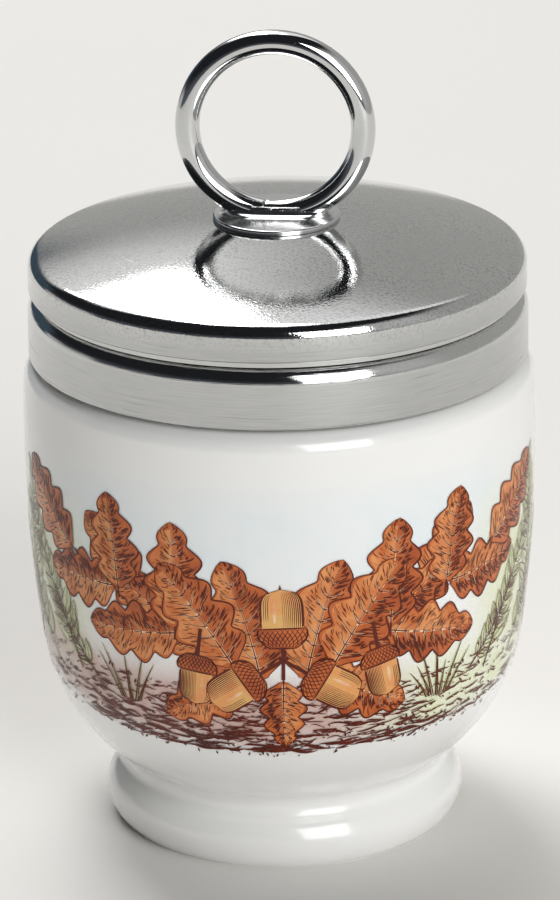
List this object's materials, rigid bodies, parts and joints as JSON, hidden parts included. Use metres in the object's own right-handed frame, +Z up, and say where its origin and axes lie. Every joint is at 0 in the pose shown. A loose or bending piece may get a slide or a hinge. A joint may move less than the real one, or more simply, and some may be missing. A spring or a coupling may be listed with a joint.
{
  "type": "egg coddler",
  "caption": "Footed porcelain cup for coddling an egg, closed by a domed metal lid that screws onto its neck and has an upright finger ring.",
  "frame": {"origin": "centre of the foot's resting face, on the surface that the cup stands on", "axes": "+Z up along the cup's axis; the finger ring stands in the XZ plane, facing +Y and -Y"},
  "size_m": [0.0568, 0.0568, 0.0909],
  "materials": {
    "porcelain": "white glazed porcelain",
    "lid_metal": "polished, lightly handled",
    "ring_metal": "bright plated",
    "seal": "matt, pale"
  },
  "bodies": {
    "cup": {"cup": "porcelain"},
    "seal": {"sealing_ring": "seal"},
    "lid": {"screw_collar": "lid_metal", "lid_cap": "lid_metal", "ring_boss": "ring_metal", "boss_washer": "lid_metal", "finger_ring": "ring_metal"}
  },
  "joints": [
    {"name": "lid_rise", "type": "slide", "parent": "cup", "child": "seal", "axis": [0, 0, 1], "range_m": [0, 0.0106]},
    {"name": "lid_turn", "type": "hinge", "parent": "seal", "child": "lid", "pos_m": [0, 0, 0.06], "axis": [0, 0, 1], "range_deg": [0, 945]}
  ],
  "couplings": [
    {"joint": "lid_rise", "follows": "lid_turn", "m_per_rad": 0.00063662}
  ]
}
